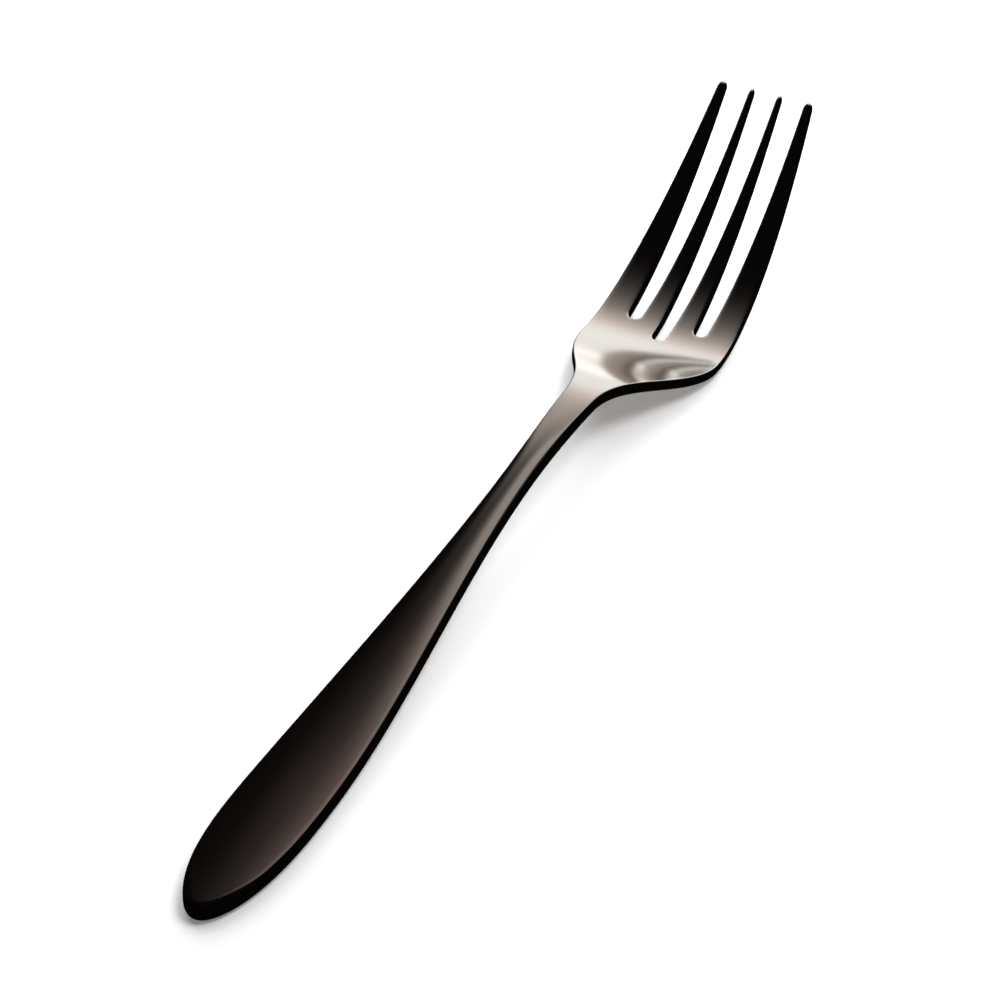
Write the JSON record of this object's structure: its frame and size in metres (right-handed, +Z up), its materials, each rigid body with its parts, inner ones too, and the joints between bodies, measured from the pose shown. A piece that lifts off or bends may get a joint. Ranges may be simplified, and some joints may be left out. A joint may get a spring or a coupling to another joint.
{
  "type": "dessert fork",
  "caption": "Slim dessert fork in dark mirror-finished steel: oval tapering handle, arched neck, flared hollow shoulder and long curved tines for lifting small bites.",
  "frame": {"origin": "on the table, under the middle of the fork's length and width as it lies with its tines curving up", "axes": "+X from the handle's end to the tine tips, +Y to the fork's left, +Z up from the table"},
  "size_m": [0.1851, 0.0224, 0.0235],
  "materials": {
    "dark_steel": "polished stainless steel under a thin dark, slightly warm metallic coat; the cut sides are dull black"
  },
  "bodies": {
    "root": {"handle": "dark_steel", "neck": "dark_steel", "shoulder": "dark_steel", "left_outer_tine": "dark_steel", "left_inner_tine": "dark_steel", "right_inner_tine": "dark_steel", "right_outer_tine": "dark_steel"}
  },
  "joints": []
}
